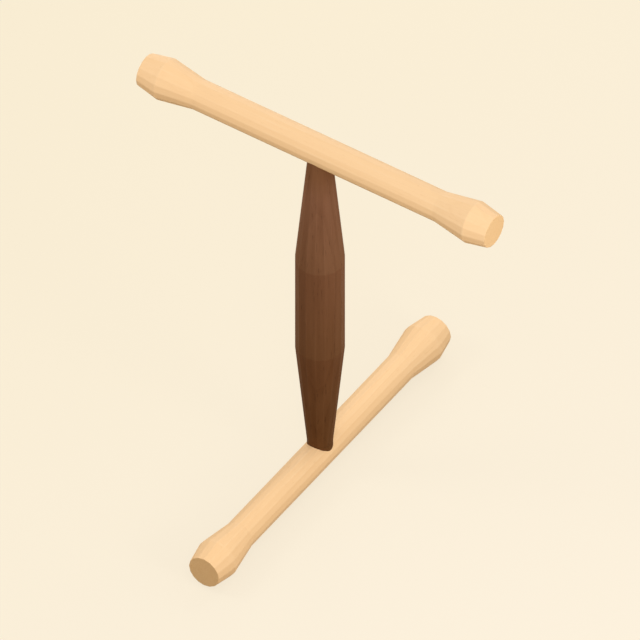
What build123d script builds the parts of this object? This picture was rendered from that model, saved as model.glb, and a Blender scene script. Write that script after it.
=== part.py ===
from build123d import *

import math
import os

# A niddy noddy, the hand tool on which freshly spun yarn is wound into a skein.
#
# A dark shaft is held by its swelled grip, and a pale arm crosses each end of it. The two arms
# stand at right angles, so that the yarn runs from arm to arm in a closed zigzag. All three
# pieces are bars worked to sixteen narrow flats, which run on through the cones of the shaft
# and the knobs of the arms. No nail, screw or glue holds them. Each end of the shaft is a round
# foot with a thinner tenon past it. The foot is let into a round seat in the side of the arm,
# and the tenon fills the blind mortise below the seat. An arm turns on its tenon and stays
# where it is put, so that a full skein can be slipped off.
#
# Millimetres, +Z up along the shaft, +X along the upper arm, +Y along the lower arm. The origin
# is on the surface that the lower arm lies on, straight below the shaft. Each radius of a bar
# is measured to the ridges between its flats, and a ridge lies on each main axis.

FLATS = 16  # an even number of flats round every bar

# The arms, straight bars that swell to a knob near either end
ARM_SPACING = 283.0  # from the axis of one arm to the axis of the other
ARM_LENGTH = 283.0
WAIST_RADIUS = 11.0  # the plain middle stretch, where the yarn lies
KNOB_RADIUS = 15.3  # the widest part of the knob
END_RADIUS = 12.1  # the flat end face
KNOB_SETBACK = 16.4  # from the end face to the widest part
FLARE_LENGTH = 27.0  # from the widest part in to the waist
END_EASE = 0.4  # the sanded edge of an end face

# The shaft, with a straight grip in the middle and a long cone towards each end
GRIP_RADIUS = 17.2
GRIP_LENGTH = 80.4

# The joint between the shaft and an arm
FOOT_INSET = 2.1  # how much narrower the shaft's foot is than the arm, on each side
SEAT_CLEARANCE = 0.08  # round the foot
SEAT_LIP = 0.4  # wood left round the seat at the level of its floor
TENON_RADIUS = 6.0
TENON_CLEARANCE = 0.05
TENON_CHAMFER = 0.8
MORTISE_WEB = 5.0  # wood left between the mortise and the far side of the arm
MORTISE_AIR = 1.0  # room past the tenon's tip

# What follows from the sizes above
FLAT_SHARE = math.cos(math.pi / FLATS)  # from the axis to a flat, as a share of the radius
FOOT_RADIUS = WAIST_RADIUS - FOOT_INSET
SEAT_RADIUS = FOOT_RADIUS + SEAT_CLEARANCE
SEAT_FLOOR = math.sqrt((WAIST_RADIUS * FLAT_SHARE) ** 2 - (SEAT_RADIUS + SEAT_LIP) ** 2)
MORTISE_RADIUS = TENON_RADIUS + TENON_CLEARANCE
MORTISE_DEPTH = 2 * WAIST_RADIUS - MORTISE_WEB  # from the ridge that faces the shaft
LOWER_AXIS = KNOB_RADIUS
UPPER_AXIS = LOWER_AXIS + ARM_SPACING
SHAFT_MIDDLE = (LOWER_AXIS + UPPER_AXIS) / 2


def worked_bar(side, outline):
    """A bar worked to FLATS flats, two opposite flats at a pass.

    side is a plane through the middle of the bar, with its x axis along the bar. outline holds
    the place and the radius of each corner, from the middle of the bar out to one end.
    """
    corners = [(place, radius * FLAT_SHARE) for place, radius in outline]
    end = outline[-1][0]
    blank = 2 * max(radius for place, radius in outline)
    with BuildPart() as bar:
        for turn in range(FLATS // 2):
            tilt = Rotation((turn + 0.5) * 360 / FLATS, 0, 0)
            with BuildSketch(Plane(side.location * tilt)):
                with BuildLine():
                    Polyline(*corners, (end, 0))
                    mirror(about=Plane.YZ)
                    mirror(about=Plane.XZ)
                make_face()
            extrude(amount=blank, both=True, mode=Mode.INTERSECT if turn else Mode.ADD)
    return bar.part


os.makedirs("parts", exist_ok=True)

# The shaft
arm_side = ARM_SPACING / 2 - WAIST_RADIUS
shoulder = ARM_SPACING / 2 - SEAT_FLOOR
tip = arm_side + MORTISE_DEPTH - MORTISE_AIR
middle = (0, 0, SHAFT_MIDDLE)

with BuildPart() as shaft:
    add(
        worked_bar(
            Plane(middle, x_dir=(0, 0, 1), z_dir=(0, -1, 0)),
            [(0, GRIP_RADIUS), (GRIP_LENGTH / 2, GRIP_RADIUS), (arm_side, FOOT_RADIUS)],
        )
    )
    with BuildSketch(Plane(middle, x_dir=(1, 0, 0), z_dir=(0, -1, 0))):
        with BuildLine():
            Polyline(
                (0, arm_side),
                (FOOT_RADIUS, arm_side),
                (FOOT_RADIUS, shoulder),
                (TENON_RADIUS, shoulder),
                (TENON_RADIUS, tip),
                (0, tip),
                close=True,
            )
        make_face()
        mirror(about=Plane.XZ)
    revolve(axis=Axis.Z)
    rims = shaft.edges().filter_by(GeomType.CIRCLE).group_by(Axis.Z)
    chamfer(rims[0] + rims[-1], TENON_CHAMFER)

shaft.part.label = "shaft"
export_step(shaft.part, "parts/shaft.step")


def make_arm(name, height, along, seat_side):
    """Work one arm on the level of height and bore the joint in the side towards the shaft.

    along is the direction of its axis. seat_side is 1 where the joint is in the arm's top and
    -1 where it is in its underside.
    """
    half = ARM_LENGTH / 2
    knob = half - KNOB_SETBACK
    flare = knob - FLARE_LENGTH
    ridge = (0, 0, height + seat_side * WAIST_RADIUS)
    with BuildPart() as arm:
        add(
            worked_bar(
                Plane((0, 0, height), x_dir=along, z_dir=(0, 0, 1)),
                [(0, WAIST_RADIUS), (flare, WAIST_RADIUS), (knob, KNOB_RADIUS), (half, END_RADIUS)],
            )
        )
        ends = arm.faces().sort_by(Axis((0, 0, height), along))
        chamfer(ends[0].edges() + ends[-1].edges(), END_EASE)
        with Locations(Plane(ridge, z_dir=(0, 0, seat_side))):
            CounterBoreHole(
                radius=MORTISE_RADIUS,
                counter_bore_radius=SEAT_RADIUS,
                counter_bore_depth=WAIST_RADIUS - SEAT_FLOOR,
                depth=MORTISE_DEPTH,
            )
    arm.part.label = name
    export_step(arm.part, f"parts/{name}.step")


make_arm("top_arm", UPPER_AXIS, (1, 0, 0), -1)
make_arm("bottom_arm", LOWER_AXIS, (0, 1, 0), 1)
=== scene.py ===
import math

import bmesh
import bpy
from mathutils import Matrix, Vector


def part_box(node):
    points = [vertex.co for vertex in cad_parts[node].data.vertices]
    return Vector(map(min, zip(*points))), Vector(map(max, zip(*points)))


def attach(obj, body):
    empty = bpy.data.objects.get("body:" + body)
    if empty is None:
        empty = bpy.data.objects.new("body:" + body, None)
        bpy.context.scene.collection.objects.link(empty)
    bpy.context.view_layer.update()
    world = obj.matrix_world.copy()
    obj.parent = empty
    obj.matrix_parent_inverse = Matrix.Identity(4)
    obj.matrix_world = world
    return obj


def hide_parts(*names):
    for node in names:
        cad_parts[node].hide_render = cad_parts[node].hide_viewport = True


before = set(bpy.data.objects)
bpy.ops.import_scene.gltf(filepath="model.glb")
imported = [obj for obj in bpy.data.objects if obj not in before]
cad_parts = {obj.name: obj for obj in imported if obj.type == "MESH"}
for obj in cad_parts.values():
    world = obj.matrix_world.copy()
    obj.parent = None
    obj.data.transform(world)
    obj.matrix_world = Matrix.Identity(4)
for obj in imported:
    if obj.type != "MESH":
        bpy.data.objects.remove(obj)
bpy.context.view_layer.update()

# A niddy noddy, on which freshly spun yarn is wound into a skein. A dark shaft is held by its
# swelled grip, and a pale arm turns on each end of it. Lengths are in metres, in the part's own
# frame: +Z up along the shaft, +X along the upper arm and +Y along the lower arm.


# The shaft
# One straight-grained bar of walnut, planed to sixteen narrow flats with their ridges eased by
# sanding, and oiled. Each end is a round foot with a thinner tenon past it, turned from the
# same wood, which goes into the side of an arm and holds it by friction.
FLATS = 16
GRIP_LENGTH = 0.0804
FOOT_RADIUS = 0.0089
WAIST_RADIUS = 0.011  # of the arms, which the feet are let into
TENON_RADIUS = 0.006
TENON_CHAMFER = 0.0008
FLAT_SHARE = math.cos(math.pi / FLATS)  # from the axis to a flat, as a share of the radius
EASED = 0.0003  # how far the rounding of a ridge reaches into the flats
ROUND_SIDES = 96
MERGE_DISTANCE = 0.000001

grip_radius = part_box("shaft")[1].x
lower_axis = (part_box("bottom_arm")[0].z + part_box("bottom_arm")[1].z) / 2
upper_axis = (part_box("top_arm")[0].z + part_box("top_arm")[1].z) / 2
shaft_middle = Vector((0, 0, (lower_axis + upper_axis) / 2))
arm_side = (upper_axis - lower_axis) / 2 - WAIST_RADIUS
shaft_tip = (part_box("shaft")[1].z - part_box("shaft")[0].z) / 2

# The seat in the arm that the foot goes into
SEAT_CLEARANCE = 0.00008
SEAT_LIP = 0.0004
seat_radius = FOOT_RADIUS + SEAT_CLEARANCE
seat_floor = math.sqrt((WAIST_RADIUS * FLAT_SHARE) ** 2 - (seat_radius + SEAT_LIP) ** 2)
shoulder = (upper_axis - lower_axis) / 2 - seat_floor


def spun(name, outline, middle, along, sides):
    """A closed solid, spun from the place along its axis and the radius of each corner.

    A bar with as many sides as there are flats also gets its ridges eased.
    """
    across = Vector((0, 0, 1)) if along.z == 0 else Vector((1, 0, 0))
    form = bmesh.new()
    corners = [form.verts.new(middle + along * place + across * radius)
               for place, radius in outline]
    edges = [form.edges.new(pair) for pair in zip(corners, corners[1:])]
    bmesh.ops.spin(form, geom=corners + edges, cent=middle, axis=along, angle=math.tau,
                   steps=sides, use_merge=True)
    bmesh.ops.remove_doubles(form, verts=form.verts, dist=MERGE_DISTANCE)
    rims = [edge for edge in form.edges if edge.is_boundary]
    bmesh.ops.holes_fill(form, edges=rims, sides=sides)
    bmesh.ops.recalc_face_normals(form, faces=form.faces)
    if sides == FLATS:
        bmesh.ops.bevel(form, geom=form.edges, offset=EASED, offset_type="OFFSET", segments=2,
                        profile=0.5, affect="EDGES", material=-1)
        bmesh.ops.recalc_face_normals(form, faces=form.faces)
    mesh = bpy.data.meshes.new(name)
    form.to_mesh(mesh)
    form.free()
    solid = bpy.data.objects.new(name, mesh)
    bpy.context.scene.collection.objects.link(solid)
    return solid


def carve(piece, tool, operation):
    """Join the tool's solid to the piece, or take it away, and remove the tool."""
    step = piece.modifiers.new("carve", "BOOLEAN")
    step.operation = operation
    step.solver = "EXACT"
    step.object = tool
    shape = piece.evaluated_get(bpy.context.evaluated_depsgraph_get())
    mesh = bpy.data.meshes.new_from_object(shape)
    piece.modifiers.clear()
    piece.data = mesh
    bpy.data.objects.remove(tool)


FLATS_RUNOUT = 0.0005  # how far the flats run on inside the round foot

up = Vector((0, 0, 1))
shaft = spun(
    "walnut_shaft",
    [
        (-arm_side - FLATS_RUNOUT, FOOT_RADIUS * FLAT_SHARE),
        (-arm_side, FOOT_RADIUS),
        (-GRIP_LENGTH / 2, grip_radius),
        (GRIP_LENGTH / 2, grip_radius),
        (arm_side, FOOT_RADIUS),
        (arm_side + FLATS_RUNOUT, FOOT_RADIUS * FLAT_SHARE),
    ],
    shaft_middle,
    up,
    FLATS,
)
for end in (-1, 1):
    foot = spun(
        "foot",
        [
            (end * arm_side, FOOT_RADIUS),
            (end * shoulder, FOOT_RADIUS),
            (end * shoulder, TENON_RADIUS),
            (end * (shaft_tip - TENON_CHAMFER), TENON_RADIUS),
            (end * shaft_tip, TENON_RADIUS - TENON_CHAMFER),
        ],
        shaft_middle,
        up,
        ROUND_SIDES,
    )
    carve(shaft, foot, "UNION")


class Signal:
    """A shader socket that takes part in arithmetic. Each operator adds one Math node."""

    def __init__(self, nodes, socket):
        self.nodes = nodes
        self.socket = socket

    def maths(self, operation, first, second=0.0):
        return self.nodes.function(operation, first, second)

    def __add__(self, other):
        return self.maths("ADD", self, other)

    def __sub__(self, other):
        return self.maths("SUBTRACT", self, other)

    def __rsub__(self, other):
        return self.maths("SUBTRACT", other, self)

    def __mul__(self, other):
        return self.maths("MULTIPLY", self, other)

    def __truediv__(self, other):
        return self.maths("DIVIDE", self, other)

    def __pow__(self, other):
        return self.maths("POWER", self, other)

    __radd__ = __add__
    __rmul__ = __mul__


class Nodes:
    """The shader nodes of one material, or of the sky."""

    # the sockets of a Mix node that blends colours
    COLOUR_MIX = {"share": 0, "first": 6, "second": 7, "result": 2}

    def __init__(self, tree):
        self.tree = tree

    def node(self, kind, settings=None, inputs=None, output=0):
        """Add a node, set it up, feed its sockets and return the output that is asked for."""
        node = self.tree.nodes.new(kind)
        for name, value in (settings or {}).items():
            setattr(node, name, value)
        for name, value in (inputs or {}).items():
            if isinstance(value, Signal):
                self.tree.links.new(value.socket, node.inputs[name])
            else:
                node.inputs[name].default_value = value
        return Signal(self, node.outputs[output])

    def function(self, operation, first, second=0.0):
        """A Math node."""
        return self.node("ShaderNodeMath", {"operation": operation}, {0: first, 1: second})

    def mix(self, share, first, second, blend="MIX"):
        """Blend two colours by a share from 0 to 1."""
        spot = self.COLOUR_MIX
        return self.node("ShaderNodeMix", {"data_type": "RGBA", "blend_type": blend},
                         {spot["share"]: share, spot["first"]: first, spot["second"]: second},
                         spot["result"])

    def seen(self):
        """1 for what is seen, straight or in a reflection, and 0 for the light that it gives."""
        share = 0
        for ray in ("Is Camera Ray", "Is Glossy Ray", "Is Transmission Ray"):
            share = share + self.node("ShaderNodeLightPath", output=ray)
        return share


class Finish(Nodes):
    """A finish in the making. Its patterns lie on the piece: x along a bar, y and z across it."""

    def __init__(self, name, middle, turn):
        self.material = bpy.data.materials.new(name)
        self.material.use_nodes = True
        super().__init__(self.material.node_tree)
        self.tree.nodes.clear()
        self.output = self.tree.nodes.new("ShaderNodeOutputMaterial")
        coordinates = self.node("ShaderNodeTexCoord", output="Object")
        centred = self.node("ShaderNodeVectorMath", {"operation": "SUBTRACT"},
                            {0: coordinates, 1: middle})
        self.place = self.node("ShaderNodeMapping", {}, {"Vector": centred, "Rotation": turn})
        self.along, self.side, self.height = [
            self.node("ShaderNodeSeparateXYZ", {}, {"Vector": self.place}, axis) for axis in "XYZ"
        ]

    def noise(self, stretch, scale, detail=2.0, shift=0.0):
        """Noise from 0 to 1, drawn out along the bar by the factor of stretch."""
        vector = self.node("ShaderNodeVectorMath", {"operation": "MULTIPLY_ADD"},
                           {0: self.place, 1: (1 / stretch, 1, 1), 2: (shift, shift, shift)})
        return self.node("ShaderNodeTexNoise", {}, {"Vector": vector, "Scale": scale,
                                                    "Detail": detail})

    def step(self, value, low, high):
        """0 below low and 1 above high, with a smooth rise between them."""
        return self.node("ShaderNodeMapRange", {"interpolation_type": "SMOOTHSTEP"},
                         {"Value": value, "From Min": low, "From Max": high})

    def rings(self, pith, spacing, wander):
        """Growth rings round the pith: 0 where a ring starts, rising to 1 where it ends.

        pith holds where it lies across the bar, and how far it leans per length of the bar.
        """
        across = self.node("ShaderNodeCombineXYZ", {}, {"X": self.side - pith[0],
                                                       "Y": self.height - pith[1]})
        radius = self.node("ShaderNodeVectorMath", {"operation": "LENGTH"}, {0: across}, "Value")
        slow = self.noise(stretch=14.0, scale=26.0, shift=3.1) - 0.5
        radius = radius + slow * wander + self.along * pith[2]
        return self.function("FRACT", radius / spacing)

    def ridges(self, reach):
        """1 along the ridges between the flats, falling to 0 at that distance from them."""
        turns = self.function("ARCTAN2", self.side, self.height) * (FLATS / math.tau)
        away = self.function("ABSOLUTE", self.function("FRACT", turns + 0.5) - 0.5)
        radius = self.function("SQRT", self.side * self.side + self.height * self.height)
        return 1 - self.step(away * radius * (math.tau / FLATS), low=0.0, high=reach)

    def close(self, colour, roughness, height, depth, **constants):
        """Finish the material with one shader."""
        bump = self.node("ShaderNodeBump", {}, {"Height": height, "Distance": depth})
        shader = self.node("ShaderNodeBsdfPrincipled", {}, {"Base Color": colour,
                                                           "Roughness": roughness,
                                                           "Normal": bump})
        for name, value in constants.items():
            shader.socket.node.inputs[name.replace("_", " ")].default_value = value
        self.tree.links.new(shader.socket, self.output.inputs["Surface"])
        return self.material


WALNUT = (0.240, 0.105, 0.056, 1)
WALNUT_DARK = (0.168, 0.067, 0.032, 1)
WALNUT_LIGHT = (0.304, 0.145, 0.085, 1)
WALNUT_PORE = (0.065, 0.025, 0.014, 1)

# How strongly each pattern shows in the colour of the walnut
WALNUT_STREAKS = 0.45
WALNUT_BROAD = 0.40
WALNUT_LATE_WOOD = 0.28
WALNUT_FIBRES = 0.35
WALNUT_BETWEEN_FIBRES = 0.10
WALNUT_PORES = 0.45
WALNUT_WEAR = 0.35

# How rough the walnut is, and what each pattern adds to that
WALNUT_ROUGHNESS = 0.58
WALNUT_FIBRE_ROUGHNESS = 0.2
WALNUT_PORE_ROUGHNESS = 0.2
WALNUT_POLISH = 0.08

# The relief of the walnut: its depth in metres, and each pattern's share of it
WALNUT_DEPTH = 0.00008
WALNUT_FIBRE_RELIEF = 0.35
WALNUT_RIDGE_RELIEF = 0.15
SCUFF_RELIEF = 0.2

EARLY_WOOD_PORES = 0.45  # how open the early wood's pores are, beside those of the late wood
WALNUT_EVEN_WEAR = 0.25  # the wear of a ridge where no scuff is, beside that on a scuff
RIDGE_WEAR_REACH = 0.0008

# Painted shade: the shaft's colour darkens towards its lower end, smoothly and by a step below
# each crease, for the weaker light lower down and on the less upturned runs; and a painted shadow
# of the upper arm darkens it right below that arm. Each shade is the darker colour beside the
# paler.
LOWER_END_PAINTED_SHADE = (0.602, 0.625, 0.375, 1)
CREASE_PAINTED_SHADE = (0.94, 0.883, 0.875, 1)
ARM_PAINTED_SHADOW = (0.81, 0.77, 0.62, 1)
ARM_PAINTED_SHADOW_FROM = 0.098  # above the middle of the shaft
ARM_PAINTED_SHADOW_TO = 0.128
PAINTED_SHADE_BEND = 1.25  # over 1, the painted shade lifts faster towards the upper end
HAND_FADE = 0.012  # how far the polish of the hand fades past the ends of the grip


def walnut():
    """Oiled walnut: soft brown streaks, dark rings and short open pores along the grain."""
    wood = Finish("oiled_walnut", shaft_middle, turn=(0, math.pi / 2, 0))
    rings = wood.rings(pith=(0.045, 0.028, 0.012), spacing=0.0042, wander=0.006)
    late = wood.step(rings, low=0.55, high=1.0)
    streaks = wood.noise(stretch=26.0, scale=210.0, detail=3.0)
    streaks = wood.step(streaks, low=0.38, high=0.66)
    broad = wood.noise(stretch=9.0, scale=45.0, shift=7.3)
    broad = wood.step(broad, low=0.35, high=0.68)
    fibres = wood.noise(stretch=40.0, scale=1500.0, shift=1.7)
    pores = wood.noise(stretch=16.0, scale=1150.0, detail=1.0, shift=5.9)
    pores = wood.step(pores, low=0.66, high=0.72)
    pores = pores * (EARLY_WOOD_PORES + (1 - EARLY_WOOD_PORES) * late)
    scuffs = wood.noise(stretch=5.0, scale=160.0, detail=3.0, shift=2.2)
    scuffs = wood.step(scuffs, low=0.50, high=0.62)
    worn = wood.ridges(RIDGE_WEAR_REACH) * (WALNUT_EVEN_WEAR + (1 - WALNUT_EVEN_WEAR) * scuffs)
    handled = 1 - wood.step(wood.function("ABSOLUTE", wood.along),
                            low=GRIP_LENGTH / 2 - HAND_FADE, high=GRIP_LENGTH / 2 + HAND_FADE)
    colour = wood.mix(streaks * WALNUT_STREAKS, WALNUT, WALNUT_DARK)
    colour = wood.mix(broad * WALNUT_BROAD, colour, WALNUT_LIGHT)
    colour = wood.mix(late * WALNUT_LATE_WOOD, colour, WALNUT_DARK)
    colour = wood.mix((fibres - 0.5) * WALNUT_FIBRES + WALNUT_BETWEEN_FIBRES, colour, WALNUT_LIGHT)
    colour = wood.mix(pores * WALNUT_PORES, colour, WALNUT_PORE)
    colour = wood.mix(worn * WALNUT_WEAR, colour, WALNUT_LIGHT)
    # Painted shade: the colour darkens smoothly towards the lower end of the shaft, where less
    # light falls
    painted_light_rise = (wood.along / (2 * shaft_tip) + 0.5) ** PAINTED_SHADE_BEND
    colour = wood.mix(1 - painted_light_rise, colour, LOWER_END_PAINTED_SHADE, "MULTIPLY")
    # Painted shade: a step darker below each crease, as the run below faces less upwards and gets
    # less light
    for crease in (-GRIP_LENGTH / 2, GRIP_LENGTH / 2):
        below = 1 - wood.step(wood.along, low=crease - EASED, high=crease + EASED)
        colour = wood.mix(below, colour, CREASE_PAINTED_SHADE, "MULTIPLY")
    # Painted shadow of the upper arm: the wood is darkened right below that arm
    arm_shadow_share = wood.step(wood.along, low=ARM_PAINTED_SHADOW_FROM, high=ARM_PAINTED_SHADOW_TO)
    colour = wood.mix(arm_shadow_share, colour, ARM_PAINTED_SHADOW, "MULTIPLY")
    roughness = (WALNUT_ROUGHNESS + (fibres - 0.5) * WALNUT_FIBRE_ROUGHNESS
                 + pores * WALNUT_PORE_ROUGHNESS - handled * WALNUT_POLISH - worn * WALNUT_POLISH)
    height = (fibres * WALNUT_FIBRE_RELIEF - pores + worn * WALNUT_RIDGE_RELIEF
              + scuffs * SCUFF_RELIEF)
    return wood.close(colour, roughness, height, WALNUT_DEPTH, IOR=1.45, Specular_IOR_Level=0.025)


shaft.data.materials.clear()
shaft.data.materials.append(walnut())
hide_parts("shaft")
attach(shaft, "shaft")


# The arms
# Two like bars of maple, planed to sixteen flats: a waist for the yarn, a knob towards either
# end that stops the yarn from slipping off, and a flat sawn face. A round seat and a blind
# mortise are bored into the side that faces the shaft. They are sanded and waxed.
WAIST_FLARE = 0.027
KNOB_SETBACK = 0.0164
END_RADIUS = 0.0121
TENON_CLEARANCE = 0.00005
MORTISE_WEB = 0.005
BORE_RUNOUT = 0.002  # how far the boring tool stands out of the arm
END_GRAIN_RIM = 0.0001  # from here to the end face, the eased edge is all end grain

knob_radius = (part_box("bottom_arm")[1].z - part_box("bottom_arm")[0].z) / 2
arm_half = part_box("top_arm")[1].x
knob = arm_half - KNOB_SETBACK
flare = knob - WAIST_FLARE

MAPLE = (0.956, 0.634, 0.342, 1)
MAPLE_DARK = (0.834, 0.500, 0.234, 1)
MAPLE_LIGHT = (0.976, 0.692, 0.406, 1)
MAPLE_FLECK = (0.72, 0.41, 0.185, 1)
END_GRAIN_SHADE = (0.955, 0.95, 0.90, 1)

# How strongly each pattern shows in the colour of the maple
MAPLE_STREAKS = 0.11
MAPLE_BROAD = 0.28
MAPLE_LATE_WOOD = 0.10
MAPLE_FIBRES = 0.2
MAPLE_BETWEEN_FIBRES = 0.14
MAPLE_FLECKS = 0.16
MAPLE_WEAR = 0.35
MAPLE_SAW_MARKS = 0.12

# How rough the maple is, and what each pattern adds to that
MAPLE_ROUGHNESS = 0.54
MAPLE_FIBRE_ROUGHNESS = 0.15
END_GRAIN_ROUGHNESS = 0.15
YARN_POLISH = 0.06
MAPLE_POLISH = 0.08

# The relief of the maple: its depth in metres, and each pattern's share of it
MAPLE_DEPTH = 0.00006
MAPLE_FIBRE_RELIEF = 0.4
MAPLE_FLECK_RELIEF = 0.3
SAW_MARK_RELIEF = 0.6

MAPLE_EVEN_WEAR = 0.2  # the wear of a ridge where no scuff is, beside that on a scuff
KNOB_WEAR_REACH = 0.0016  # on either side of the widest ring of a knob
YARN_FADE = 0.010  # how far the polish of the yarn fades past the ends of the waist


def maple(name, middle, turn, pith, arm_painted_shade):
    """Waxed maple: thin ring lines, silky fibres and short ray flecks, all of low contrast."""
    wood = Finish(name, middle, turn)
    rings = wood.rings(pith, spacing=0.0034, wander=0.005)
    late = wood.step(rings, low=0.70, high=0.97) * (1 - wood.step(rings, low=0.97, high=1.0))
    streaks = wood.noise(stretch=30.0, scale=260.0, detail=3.0)
    streaks = wood.step(streaks, low=0.40, high=0.68)
    broad = wood.noise(stretch=7.0, scale=38.0, shift=4.4)
    broad = wood.step(broad, low=0.35, high=0.70)
    fibres = wood.noise(stretch=45.0, scale=1500.0, shift=2.6)
    flecks = wood.noise(stretch=5.0, scale=900.0, detail=1.0, shift=8.2)
    flecks = wood.step(flecks, low=0.68, high=0.76)
    scuffs = wood.noise(stretch=4.0, scale=150.0, detail=3.0, shift=6.1)
    scuffs = wood.step(scuffs, low=0.50, high=0.64)
    from_middle = wood.function("ABSOLUTE", wood.along)
    end_grain = wood.step(from_middle, low=arm_half - EASED, high=arm_half - END_GRAIN_RIM)
    ring = wood.function("ABSOLUTE", from_middle - knob)
    ring = 1 - wood.step(ring, low=0.0, high=KNOB_WEAR_REACH)
    worn = wood.function("MAXIMUM", wood.ridges(RIDGE_WEAR_REACH), ring)
    worn = worn * (MAPLE_EVEN_WEAR + (1 - MAPLE_EVEN_WEAR) * scuffs) * (1 - end_grain)
    yarn_polish = 1 - wood.step(from_middle, low=flare - YARN_FADE, high=flare + YARN_FADE)
    saw_marks = wood.noise(stretch=1.0, scale=900.0, shift=9.4)
    saw_marks = wood.step(saw_marks, low=0.42, high=0.60) * end_grain
    colour = wood.mix(streaks * MAPLE_STREAKS, MAPLE, MAPLE_DARK)
    colour = wood.mix(broad * MAPLE_BROAD, colour, MAPLE_LIGHT)
    colour = wood.mix(late * MAPLE_LATE_WOOD, colour, MAPLE_DARK)
    colour = wood.mix((fibres - 0.5) * MAPLE_FIBRES + MAPLE_BETWEEN_FIBRES, colour, MAPLE_DARK)
    colour = wood.mix(flecks * MAPLE_FLECKS, colour, MAPLE_FLECK)
    colour = wood.mix(worn * MAPLE_WEAR, colour, MAPLE_LIGHT)
    colour = wood.mix(saw_marks * MAPLE_SAW_MARKS, colour, MAPLE_FLECK)
    colour = wood.mix(end_grain, colour, END_GRAIN_SHADE, "MULTIPLY")
    # Painted shade: the whole arm is multiplied by this colour, which darkens the lower arm as it
    # gets less light than the upper
    colour = wood.mix(1.0, colour, arm_painted_shade, "MULTIPLY")
    roughness = (MAPLE_ROUGHNESS + (fibres - 0.5) * MAPLE_FIBRE_ROUGHNESS
                 + end_grain * END_GRAIN_ROUGHNESS - yarn_polish * YARN_POLISH
                 - worn * MAPLE_POLISH)
    height = (fibres * MAPLE_FIBRE_RELIEF - flecks * MAPLE_FLECK_RELIEF + scuffs * SCUFF_RELIEF
              - saw_marks * SAW_MARK_RELIEF)
    return wood.close(colour, roughness, height, MAPLE_DEPTH, IOR=1.45, Specular_IOR_Level=0.15)


def arm(name, node, body, along, height, seat_side, turn, pith, arm_painted_shade):
    """Make an arm, and bore the seat and the mortise into the side that faces the shaft.

    seat_side is 1 where that side is the arm's top and -1 where it is its underside.
    """
    middle = Vector((0, 0, height))
    bar = spun(
        name,
        [
            (-arm_half, END_RADIUS),
            (-knob, knob_radius),
            (-flare, WAIST_RADIUS),
            (flare, WAIST_RADIUS),
            (knob, knob_radius),
            (arm_half, END_RADIUS),
        ],
        middle,
        along,
        FLATS,
    )
    bore = spun(
        "bore",
        [
            (seat_side * (MORTISE_WEB - WAIST_RADIUS), TENON_RADIUS + TENON_CLEARANCE),
            (seat_side * seat_floor, TENON_RADIUS + TENON_CLEARANCE),
            (seat_side * seat_floor, seat_radius),
            (seat_side * (WAIST_RADIUS + BORE_RUNOUT), seat_radius),
        ],
        middle,
        up,
        ROUND_SIDES,
    )
    # the bore is turned half a side, so that none of its corners lies on a ridge of the arm
    bore.data.transform(Matrix.Rotation(math.pi / ROUND_SIDES, 4, up))
    carve(bar, bore, "DIFFERENCE")
    bar.data.materials.clear()
    bar.data.materials.append(maple(name + "_finish", middle, turn, pith, arm_painted_shade))
    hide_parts(node)
    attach(bar, body)


arm("maple_top_arm", "top_arm", "top_arm", along=Vector((1, 0, 0)), height=upper_axis,
    seat_side=-1, turn=(0, 0, 0), pith=(0.030, -0.060, 0.006), arm_painted_shade=(1, 1, 1, 1))
# The lower arm is darkened all over as painted shade, for the weaker light near the floor
arm("maple_bottom_arm", "bottom_arm", "bottom_arm", along=Vector((0, 1, 0)), height=lower_axis,
    seat_side=1, turn=(0, 0, -math.pi / 2), pith=(-0.055, -0.040, -0.008),
    arm_painted_shade=(0.958, 0.948, 0.925, 1))


# The floor
# A pale cream studio floor without an edge. The camera and reflections see it evenly lit, with
# a share of plain floor that keeps the shadow. It throws a weak warm light back on the object.
FLOOR_SIZE = 12.0
FLOOR_LEFT = (0.935, 0.833, 0.640, 1)
FLOOR_RIGHT = (0.957, 0.860, 0.707, 1)
FLOOR_TURN = 0.3  # how much the change of colour runs towards the front as well
FLOOR_CHANGE_FROM = -0.6
FLOOR_CHANGE_TO = 0.4
FLOOR_BOUNCE = (0.205, 0.125, 0.008, 1)
FLOOR_SHADOW_SHARE = 0.13

plane = bmesh.new()
bmesh.ops.create_grid(plane, x_segments=1, y_segments=1, size=FLOOR_SIZE / 2)
floor_mesh = bpy.data.meshes.new("floor")
plane.to_mesh(floor_mesh)
plane.free()
floor = bpy.data.objects.new("floor", floor_mesh)
bpy.context.scene.collection.objects.link(floor)
paint = Finish("cream_floor", middle=(0, 0, 0), turn=(0, 0, 0))
seen = paint.seen()
across = paint.step(paint.along - FLOOR_TURN * paint.side,
                    low=FLOOR_CHANGE_FROM, high=FLOOR_CHANGE_TO)
cream = paint.mix(across, FLOOR_LEFT, FLOOR_RIGHT)
matt = paint.node("ShaderNodeBsdfDiffuse", {}, {"Color": paint.mix(seen, FLOOR_BOUNCE, cream)})
glow = paint.node("ShaderNodeEmission", {}, {"Color": cream})
mixed = paint.node("ShaderNodeMixShader", {}, {0: seen * (1 - FLOOR_SHADOW_SHARE),
                                               1: matt, 2: glow})
paint.tree.links.new(mixed.socket, paint.output.inputs["Surface"])
floor.data.materials.append(paint.material)


# The lamps
# Soft studio light: an even sky without a tint, and six round soft lamps round the object. Where
# the sky itself is seen, past the floor, it has the colour of the floor far away.
SKY_LIGHT = (0.593, 0.593, 0.593, 1)
SKY_SEEN = (0.896, 0.801, 0.637, 1)
LAMP_WIDTH = 0.35
LAMP_DISTANCE = 0.9

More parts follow.
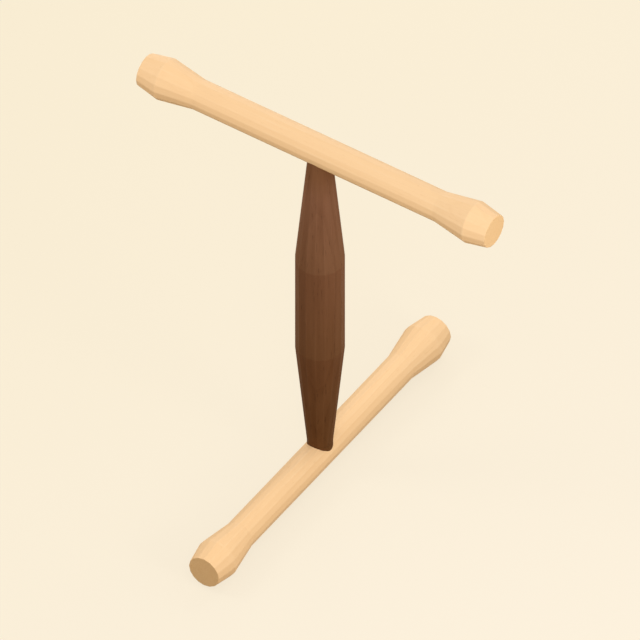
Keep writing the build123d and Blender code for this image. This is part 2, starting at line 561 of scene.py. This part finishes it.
world = bpy.data.worlds.new("studio")
bpy.context.scene.world = world
world.use_nodes = True
sky = Nodes(world.node_tree)
shown = sky.mix(sky.seen(), SKY_LIGHT, SKY_SEEN)
sky.tree.links.new(shown.socket, sky.tree.nodes["Background"].inputs["Color"])


def lamp(name, azimuth, elevation, watts):
    """A soft lamp aimed at the middle of the shaft. Its angles are those of the frame's views."""
    turn = math.radians(azimuth)
    lift = math.radians(elevation)
    towards = Vector((math.sin(turn) * math.cos(lift), -math.cos(turn) * math.cos(lift),
                      math.sin(lift)))
    light = bpy.data.lights.new(name, "AREA")
    light.shape = "DISK"
    light.size = LAMP_WIDTH
    light.energy = watts
    holder = bpy.data.objects.new(name, light)
    holder.location = shaft_middle + towards * LAMP_DISTANCE
    holder.rotation_mode = "QUATERNION"
    holder.rotation_quaternion = towards.to_track_quat("Z", "Y")
    holder.visible_camera = False
    bpy.context.scene.collection.objects.link(holder)


lamp("right", azimuth=79, elevation=15, watts=3.05)
lamp("left", azimuth=304, elevation=40, watts=1.96)
lamp("front", azimuth=34, elevation=40, watts=1.35)
lamp("back_right", azimuth=169, elevation=40, watts=1.50)
lamp("back_left", azimuth=214, elevation=15, watts=1.49)
lamp("low_front", azimuth=349, elevation=15, watts=0.28)


# The camera
# The photograph has no perspective, so the camera has none. It looks down on the front and the
# right side, and the photographed square is a little wider than the tool is tall.
CAMERA_AZIMUTH = math.radians(33.69)
CAMERA_ELEVATION = math.radians(44.15)
VIEW_WIDTH = 0.43252
AIM = Vector((0, 0, 0.1387))
CAMERA_DISTANCE = 2.0

back = Vector((
    math.sin(CAMERA_AZIMUTH) * math.cos(CAMERA_ELEVATION),
    -math.cos(CAMERA_AZIMUTH) * math.cos(CAMERA_ELEVATION),
    math.sin(CAMERA_ELEVATION),
))
lens = bpy.data.cameras.new("camera")
lens.type = "ORTHO"
lens.ortho_scale = VIEW_WIDTH
camera = bpy.data.objects.new("camera", lens)
camera.location = AIM + back * CAMERA_DISTANCE
camera.rotation_euler = (-back).to_track_quat("-Z", "Y").to_euler()
bpy.context.scene.collection.objects.link(camera)
bpy.context.scene.camera = camera
bpy.context.scene.view_settings.view_transform = "Standard"
